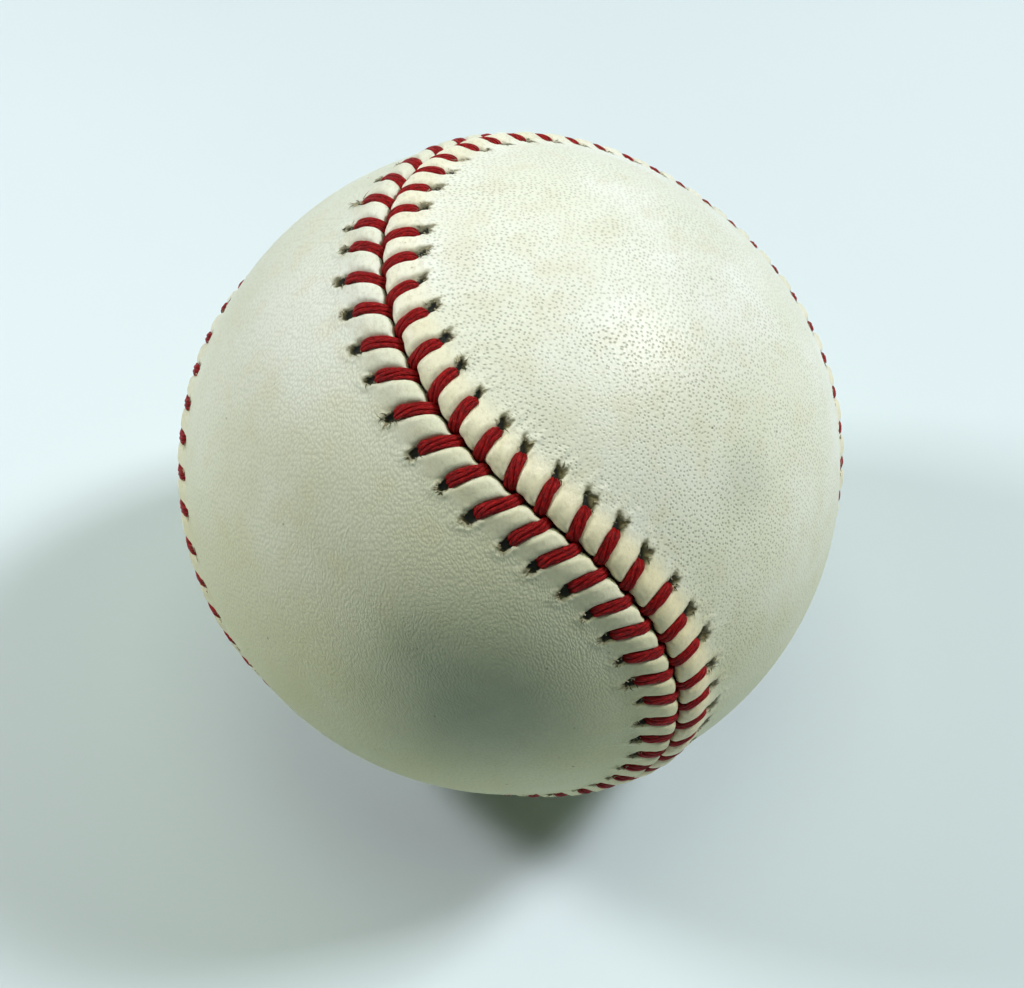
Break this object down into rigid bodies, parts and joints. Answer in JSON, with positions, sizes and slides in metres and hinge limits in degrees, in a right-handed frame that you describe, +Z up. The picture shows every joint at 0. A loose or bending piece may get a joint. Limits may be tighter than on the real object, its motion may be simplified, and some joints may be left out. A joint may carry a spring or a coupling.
{
  "type": "baseball",
  "caption": "Leather ball with two figure-eight cover panels laced edge to edge by red thread over yarn windings and a rubber-cased cork centre, for throwing and batting.",
  "frame": {"origin": "centre of the ball", "axes": "+Z up as the ball lies, +X to the right of the picture, +Y away from its camera"},
  "size_m": [0.0774, 0.0743, 0.0756],
  "materials": {
    "cork": "matt cork and rubber granules",
    "black_rubber": "matt moulded rubber",
    "red_rubber": "matt moulded rubber",
    "grey_wool": "wound wool yarn",
    "white_wool": "wound wool yarn",
    "cotton": "wound fine cotton yarn",
    "leather": "aged white hide with a soft sheen",
    "thread": "waxed red twisted thread"
  },
  "bodies": {
    "root": {"cork_nucleus": "cork", "upper_black_shell": "black_rubber", "lower_black_shell": "black_rubber", "rubber_washer": "red_rubber", "right_red_shell": "red_rubber", "left_red_shell": "red_rubber", "grey_wool_winding": "grey_wool", "white_wool_winding": "white_wool", "outer_wool_winding": "grey_wool", "cotton_winding": "cotton", "right_cover_panel": "leather", "left_cover_panel": "leather", "first_thread": "thread", "second_thread": "thread"}
  },
  "joints": []
}
